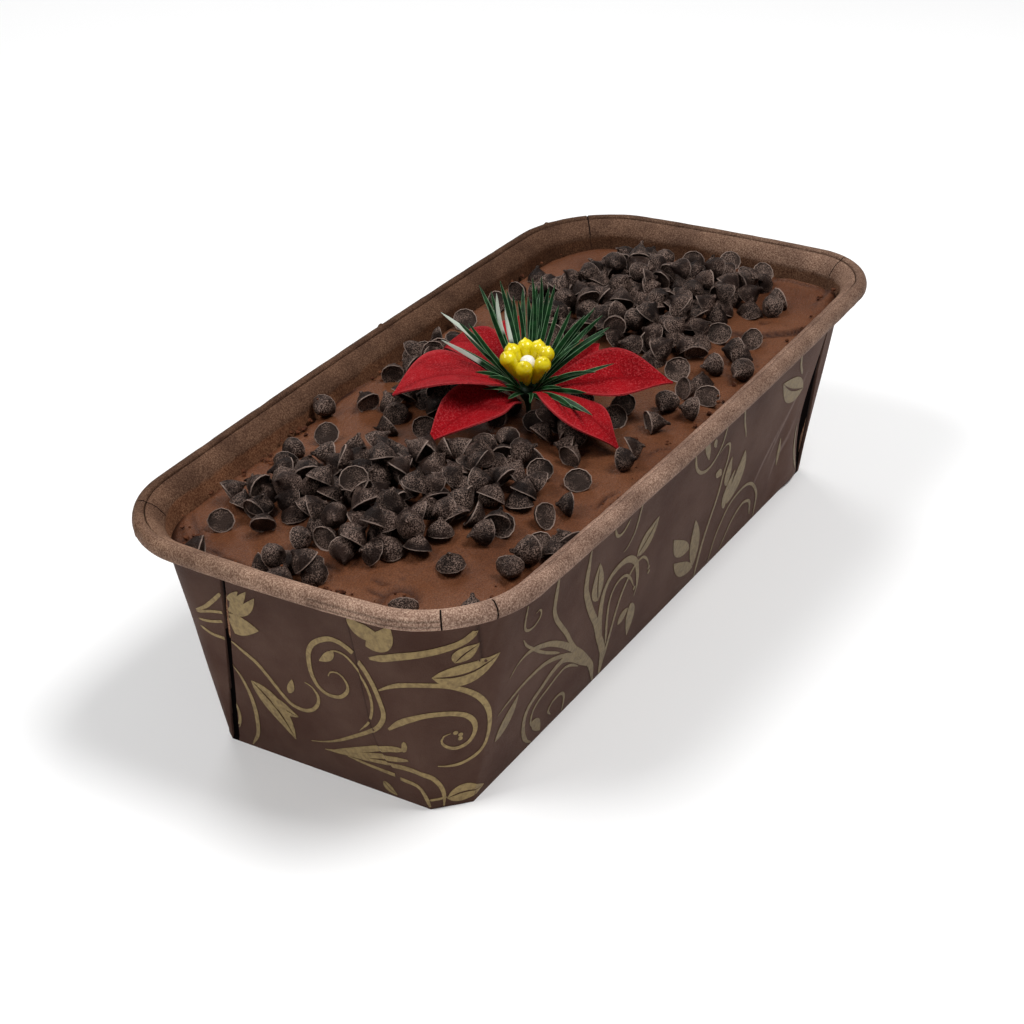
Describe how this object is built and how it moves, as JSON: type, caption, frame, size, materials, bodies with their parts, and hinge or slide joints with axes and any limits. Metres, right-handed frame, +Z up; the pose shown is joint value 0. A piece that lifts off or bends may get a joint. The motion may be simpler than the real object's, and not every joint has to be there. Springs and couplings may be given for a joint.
{
  "type": "chocolate loaf cake",
  "caption": "Chocolate loaf cake in a printed paper mould with a rolled rim, topped with frosting, chocolate chips and an artificial poinsettia.",
  "frame": {"origin": "middle of the mould's flat foot, on the surface it stands on", "axes": "+X along the loaf's length, +Y across its width, +Z up"},
  "size_m": [0.1998, 0.0992, 0.082],
  "materials": {
    "mould_paper": "matt dark brown paper with a pale gold scroll print",
    "chocolate": "soft satin chocolate frosting with dusty dark chips",
    "petal_cloth": "matt embossed red cloth",
    "needle_green": "satin green film",
    "bead_yellow": "glossy yellow lacquer",
    "bead_white": "glossy white lacquer"
  },
  "bodies": {
    "root": {"paper_mould": "mould_paper", "frosted_cake": "chocolate", "petal_left_front": "petal_cloth", "petal_left": "petal_cloth", "petal_left_back": "petal_cloth", "petal_back": "petal_cloth", "petal_right_back": "petal_cloth", "petal_right": "petal_cloth", "petal_right_front": "petal_cloth", "pick_needles": "needle_green", "stamen_beads": "bead_yellow", "stamen_pearl": "bead_white"}
  },
  "joints": []
}
